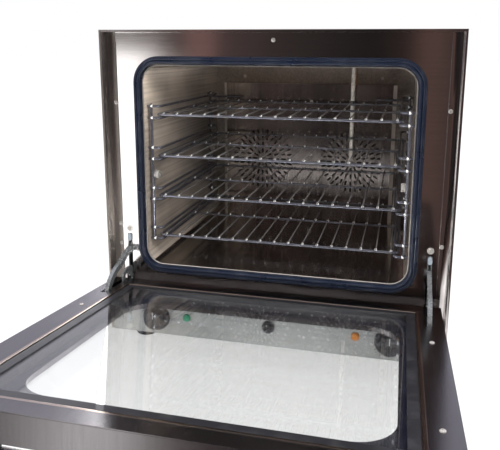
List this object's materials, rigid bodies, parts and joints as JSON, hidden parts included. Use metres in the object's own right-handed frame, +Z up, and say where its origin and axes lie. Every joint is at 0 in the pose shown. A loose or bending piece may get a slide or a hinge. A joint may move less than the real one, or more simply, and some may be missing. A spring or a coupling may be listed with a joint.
{
  "type": "countertop convection oven",
  "caption": "Countertop convection oven with a drop-down glass door, wire shelves on side runners, rear fans behind a slotted guard, steam pipe, knobs and indicator lamps.",
  "frame": {"origin": "on the ground under the middle of the case", "axes": "+Z up, the front with the door faces -Y, +X to the right seen from the front; the door is modelled open on its stop"},
  "size_m": [0.595, 0.9964, 0.57],
  "materials": {
    "case_steel": "satin, brushed",
    "frame_steel": "satin, brushed",
    "chamber_steel": "bright, lightly brushed",
    "guard_steel": "satin",
    "door_steel": "satin, brushed",
    "gasket_rubber": "glossy silicone",
    "seal_rubber": "satin",
    "trim_metal": "bright bronze",
    "spacer_black": "matt black",
    "wire_chrome": "bright",
    "screw_zinc": "bright",
    "hinge_zinc": "zinc plated",
    "catch_pale": "smooth",
    "pipe_chrome": "bright",
    "probe_copper": "dull",
    "heater_dark": "dark oxide",
    "fan_aluminium": "matt",
    "motor_grey": "satin",
    "knob_black": "satin black",
    "body_plastic": "matt",
    "lens_green": "clear, green",
    "lens_orange": "clear, orange",
    "lamp_glass": "clear",
    "door_glass": "clear",
    "ceramic_white": "ceramic",
    "mineral_wool": "fibrous",
    "valve_plastic": "white",
    "foot_rubber": "matt"
  },
  "bodies": {
    "case": {"base_pan": "case_steel", "side_panel_left": "case_steel", "side_panel_right": "case_steel", "top_panel": "case_steel", "back_panel": "case_steel", "front_frame": "frame_steel", "feet": "foot_rubber", "cavity_liner": "chamber_steel", "insulation": "mineral_wool", "cavity_gasket": "gasket_rubber", "fan_guard": "guard_steel", "fan_motors": "motor_grey", "ring_heaters": "heater_dark", "chamber_screws": "screw_zinc", "steam_pipe": "pipe_chrome", "water_valve": "valve_plastic", "pipe_clip": "hinge_zinc", "temperature_probe": "probe_copper", "lamp_bezel": "screw_zinc", "lamp_glass": "lamp_glass", "lamp_holder": "ceramic_white", "lamp_bulb": "lamp_glass", "cable_gland": "body_plastic", "rack_support_left": "wire_chrome", "rack_support_right": "wire_chrome", "support_nuts": "screw_zinc", "control_panel": "frame_steel", "timer_body": "body_plastic", "thermostat_body": "body_plastic", "green_lamp": "lens_green", "orange_lamp": "lens_orange", "button_switch": "body_plastic", "frame_screws": "screw_zinc", "hinge_receiver_left": "hinge_zinc", "hinge_receiver_right": "hinge_zinc", "hinge_claw_left": "hinge_zinc", "hinge_claw_right": "hinge_zinc", "hinge_pins": "screw_zinc", "stay_catches": "catch_pale"},
    "door": {"stay_arm_left": "hinge_zinc", "stay_arm_right": "hinge_zinc", "door_inner_frame": "door_steel", "door_outer_skin": "door_steel", "door_inner_glass": "door_glass", "door_outer_glass": "door_glass", "door_glass_seal": "seal_rubber", "door_trim": "trim_metal", "door_spacer": "spacer_black", "door_screws": "screw_zinc", "handle_bar": "case_steel", "handle_posts": "body_plastic"},
    "timer_knob": {"timer_knob": "knob_black"},
    "thermostat_knob": {"thermostat_knob": "knob_black"},
    "steam_button": {"steam_button": "knob_black"},
    "rack_1": {"rack_1": "wire_chrome"},
    "rack_2": {"rack_2": "wire_chrome"},
    "rack_3": {"rack_3": "wire_chrome"},
    "rack_4": {"rack_4": "wire_chrome"},
    "fan_left": {"fan_left": "fan_aluminium"},
    "fan_right": {"fan_right": "fan_aluminium"}
  },
  "joints": [
    {"name": "door_hinge", "type": "hinge", "parent": "case", "child": "door", "pos_m": [0, -0.27, 0.103], "axis": [-1, 0, 0], "range_deg": [0, 84.5]},
    {"name": "timer_knob_turn", "type": "hinge", "parent": "case", "child": "timer_knob", "pos_m": [-0.207, -0.25, 0.057], "axis": [0, 1, 0], "range_deg": [0, 330]},
    {"name": "thermostat_knob_turn", "type": "hinge", "parent": "case", "child": "thermostat_knob", "pos_m": [0.207, -0.25, 0.057], "axis": [0, 1, 0], "range_deg": [0, 300]},
    {"name": "steam_button_press", "type": "slide", "parent": "case", "child": "steam_button", "axis": [0, 1, 0], "range_m": [0, 0.003], "stiffness_N_per_m": 400, "springref_m": -0.002},
    {"name": "rack_1_slide", "type": "slide", "parent": "case", "child": "rack_1", "axis": [0, 1, 0], "range_m": [-0.28, 0]},
    {"name": "rack_2_slide", "type": "slide", "parent": "case", "child": "rack_2", "axis": [0, 1, 0], "range_m": [-0.28, 0]},
    {"name": "rack_3_slide", "type": "slide", "parent": "case", "child": "rack_3", "axis": [0, 1, 0], "range_m": [-0.28, 0]},
    {"name": "rack_4_slide", "type": "slide", "parent": "case", "child": "rack_4", "axis": [0, 1, 0], "range_m": [-0.28, 0]},
    {"name": "fan_left_spin", "type": "hinge", "parent": "case", "child": "fan_left", "pos_m": [-0.1015, 0.17, 0.2925], "axis": [0, 1, 0], "continuous": true},
    {"name": "fan_right_spin", "type": "hinge", "parent": "case", "child": "fan_right", "pos_m": [0.1015, 0.17, 0.2925], "axis": [0, 1, 0], "continuous": true}
  ]
}
